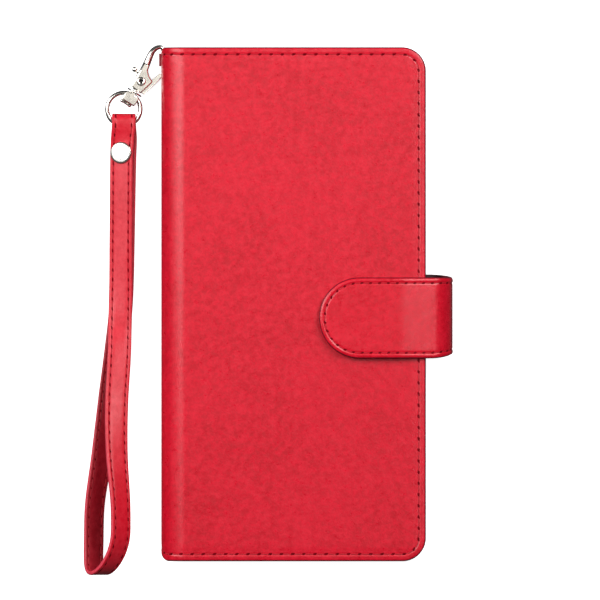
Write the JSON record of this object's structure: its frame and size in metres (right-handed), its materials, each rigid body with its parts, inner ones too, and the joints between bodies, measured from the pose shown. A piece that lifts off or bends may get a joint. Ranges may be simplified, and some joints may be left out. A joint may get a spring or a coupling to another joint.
{
  "type": "phone wallet case",
  "caption": "Red folio wallet case for a phone with a magnetic closing tab, card pockets, a phone shell and a wrist strap on a swivel clasp.",
  "frame": {"origin": "centre of the back cover's outer face, on which the case lies", "axes": "+X from the spine to the free edge, +Y to the top edge, +Z out of the front cover"},
  "size_m": [0.1204, 0.1706, 0.0225],
  "materials": {
    "cover_leather": "satin pull-up leather with fine wrinkles",
    "tab_leather": "satin leather",
    "strap_leather": "satin leather with painted edges",
    "lining": "smooth matt synthetic leather",
    "tab_lining": "matt synthetic leather",
    "pocket_leather": "satin synthetic leather",
    "board": "grey-brown bookbinder's board",
    "thread": "waxed polyester thread",
    "shell": "fine matt moulding",
    "steel": "plain rolled steel",
    "magnet": "nickel-plated magnet",
    "clasp_metal": "bright nickel plating, faintly warm",
    "rivet_metal": "bright satin nickel"
  },
  "bodies": {
    "back_cover": {"back_leather": "cover_leather", "back_board": "board", "back_lining": "lining", "back_stitching": "thread", "phone_shell": "shell", "tab_anchor": "tab_leather"},
    "spine": {"spine_leather": "cover_leather", "spine_board": "board", "spine_lining": "lining", "lanyard_loop": "cover_leather"},
    "front_cover": {"front_leather": "cover_leather", "front_board": "board", "front_lining": "lining", "front_stitching": "thread", "keeper_plate": "steel", "cash_pocket": "pocket_leather", "card_pocket_1": "pocket_leather", "card_pocket_2": "pocket_leather", "card_pocket_3": "pocket_leather"},
    "tab_wall": {"tab_wall_leather": "tab_leather", "tab_wall_lining": "tab_lining"},
    "tab_flap": {"tab_flap_leather": "tab_leather", "tab_flap_lining": "tab_lining", "tab_magnet": "magnet", "tab_stitching": "thread"},
    "clasp": {"clasp_body": "clasp_metal", "clasp_rivet": "clasp_metal", "gate_spring": "clasp_metal"},
    "gate": {"clasp_gate": "clasp_metal"},
    "swivel": {"swivel_eye": "clasp_metal"},
    "ring": {"strap_ring": "clasp_metal"},
    "strap": {"strap_leather": "strap_leather", "strap_stitching": "thread", "strap_rivet": "rivet_metal"}
  },
  "joints": [
    {"name": "spine_fold", "type": "hinge", "parent": "back_cover", "child": "spine", "pos_m": [-0.04016, 0, 0.00234], "axis": [0, -1, 0], "range_deg": [0, 90]},
    {"name": "cover_fold", "type": "hinge", "parent": "spine", "child": "front_cover", "pos_m": [-0.04016, 0, 0.01766], "axis": [0, -1, 0], "range_deg": [0, 90]},
    {"name": "tab_wall_fold", "type": "hinge", "parent": "back_cover", "child": "tab_wall", "pos_m": [0.0493, 0, 0.0021], "axis": [0, 1, 0], "range_deg": [0, 90]},
    {"name": "tab_flap_fold", "type": "hinge", "parent": "tab_wall", "child": "tab_flap", "pos_m": [0.0493, 0, 0.02065], "axis": [0, 1, 0], "range_deg": [0, 90]},
    {"name": "clasp_swing", "type": "hinge", "parent": "spine", "child": "clasp", "pos_m": [-0.0418, 0.0785, 0.00308], "axis": [0, 1, 0], "range_deg": [0, 45]},
    {"name": "gate_press", "type": "hinge", "parent": "clasp", "child": "gate", "pos_m": [-0.049, 0.07165, 0.00305], "axis": [0, 0, 1], "range_deg": [0, 20], "stiffness_Nm_per_rad": 0.002, "springref_deg": -17.19},
    {"name": "swivel_spin", "type": "hinge", "parent": "clasp", "child": "swivel", "pos_m": [-0.049, 0.07165, 0.00305], "axis": [-0.5299, -0.848, 0], "continuous": true},
    {"name": "ring_tilt", "type": "hinge", "parent": "swivel", "child": "ring", "pos_m": [-0.05176, 0.06724, 0.00305], "axis": [-0.848, 0.5299, 0], "range_deg": [0, 35]},
    {"name": "strap_fold", "type": "hinge", "parent": "ring", "child": "strap", "pos_m": [-0.05459, 0.05895, 0.00305], "axis": [-1, 0, 0], "range_deg": [0, 90]}
  ]
}
